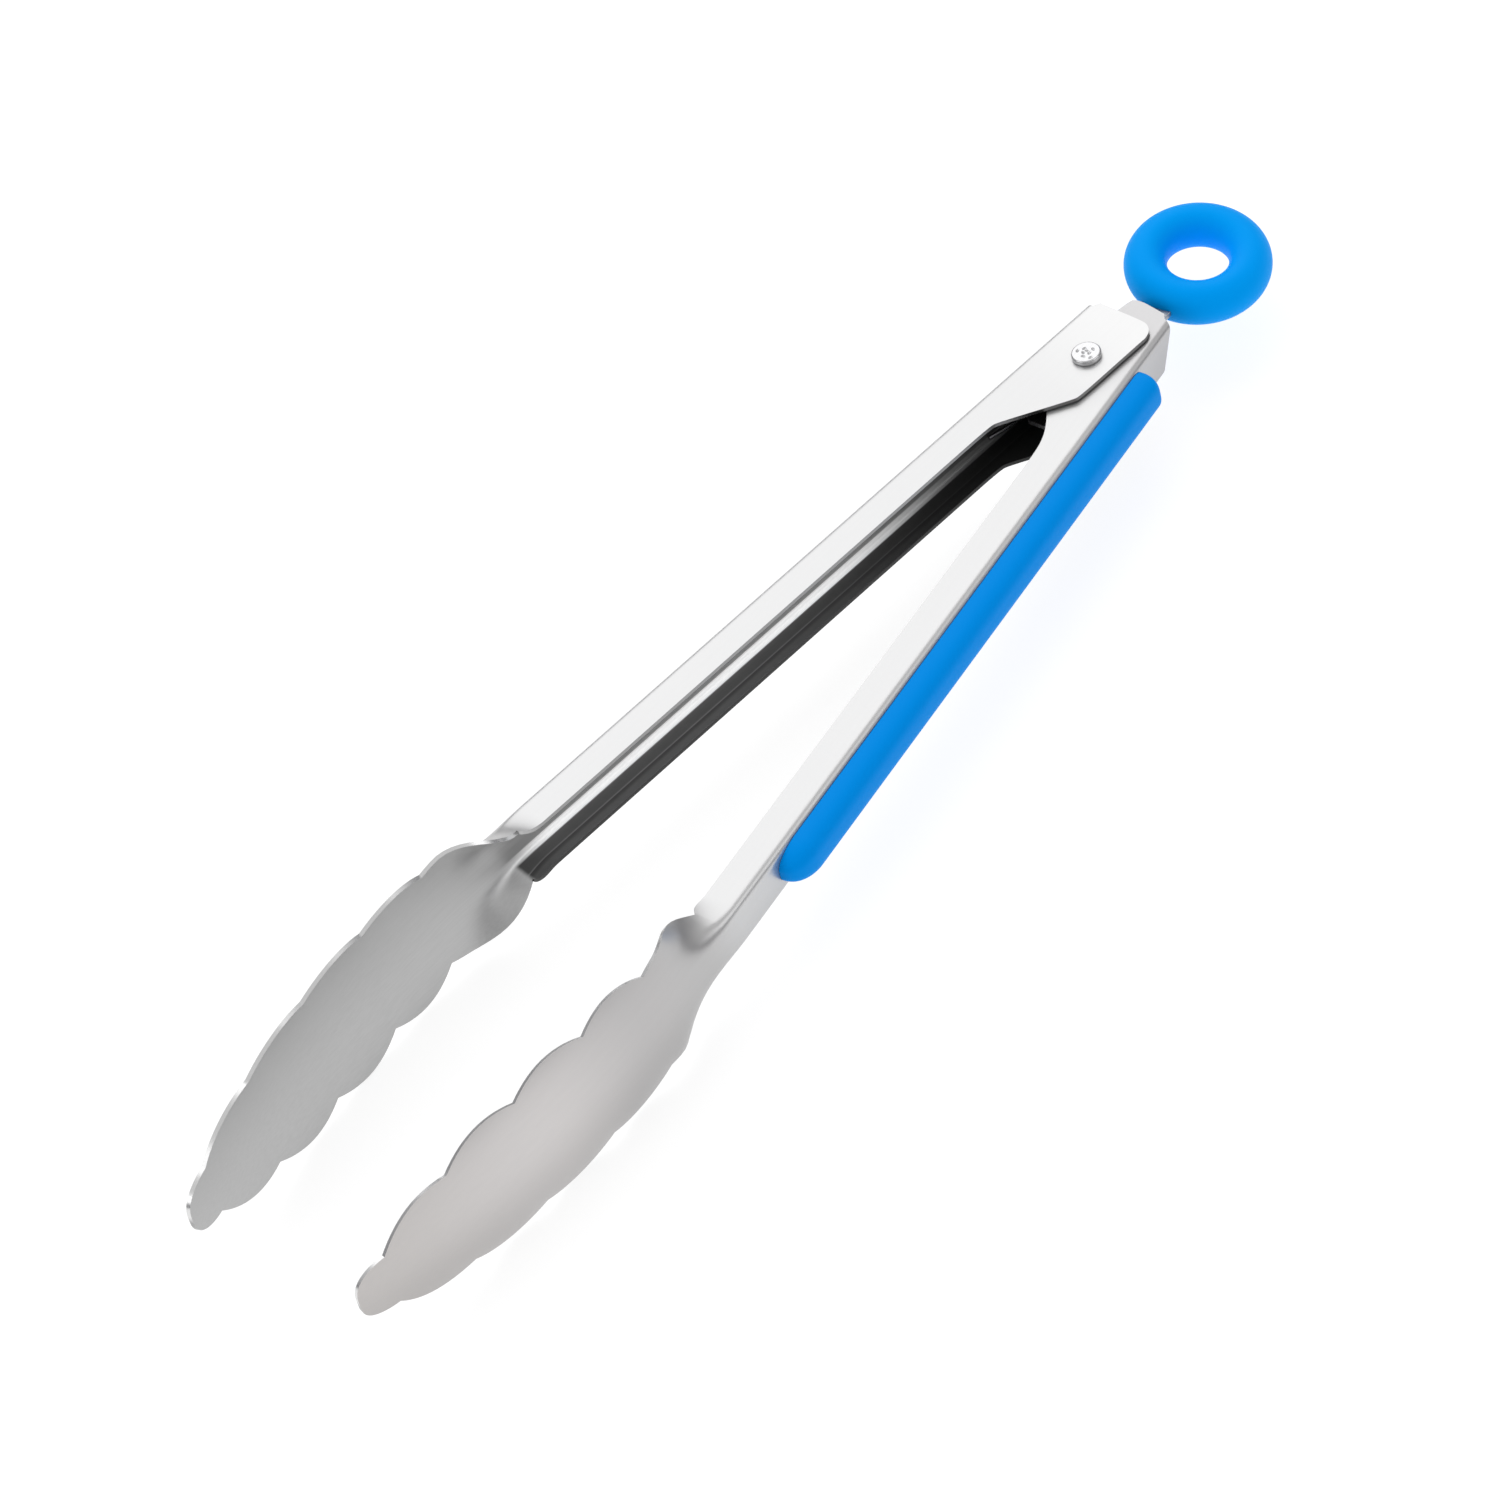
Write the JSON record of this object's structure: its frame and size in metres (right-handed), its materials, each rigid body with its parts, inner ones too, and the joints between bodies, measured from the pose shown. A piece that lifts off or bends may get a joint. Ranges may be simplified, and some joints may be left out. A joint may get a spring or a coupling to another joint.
{
  "type": "spring loaded kitchen tongs",
  "caption": "Stainless kitchen tongs with scalloped spoon tips, a silicone grip, a sprung rivet joint and a sliding ring that works the lock.",
  "frame": {"origin": "under the centre of the tongs' box, on the surface that they lie on, with the arms open", "axes": "+X from the tips to the pull ring, +Y to the outer arm, +Z along the pivot rivet"},
  "size_m": [0.2993, 0.0586, 0.0306],
  "materials": {
    "arm_steel": "satin brushed stainless sheet, brushed along the arm",
    "grip_silicone": "matte blue silicone",
    "ring_silicone": "satin blue silicone",
    "rivet_steel": "bright turned and peened stainless",
    "slide_steel": "stamped bright stainless",
    "spring_wire": "drawn spring wire"
  },
  "bodies": {
    "pivot_core": {"pivot_rivet": "rivet_steel", "spacer_sleeve": "rivet_steel", "torsion_spring": "spring_wire"},
    "outer_side": {"outer_arm": "arm_steel"},
    "inner_side": {"inner_arm": "arm_steel", "inner_grip": "grip_silicone"},
    "ring_slide": {"lock_slide": "slide_steel", "pull_ring": "ring_silicone"}
  },
  "joints": [
    {"name": "outer_close", "type": "hinge", "parent": "pivot_core", "child": "outer_side", "pos_m": [0.0994, 0.0002, 0.01531], "axis": [0, 0, 1], "range_deg": [0, 4.45], "stiffness_Nm_per_rad": 7.6, "springref_deg": -3.78, "deforming": ["torsion_spring"]},
    {"name": "inner_close", "type": "hinge", "parent": "pivot_core", "child": "inner_side", "pos_m": [0.0994, 0.0002, 0.01531], "axis": [0, 0, -1], "range_deg": [0, 4.45]},
    {"name": "ring_pull", "type": "slide", "parent": "pivot_core", "child": "ring_slide", "axis": [1, 0, 0], "range_m": [0, 0.009]}
  ],
  "couplings": [
    {"joint": "inner_close", "follows": "outer_close", "ratio": 1}
  ]
}
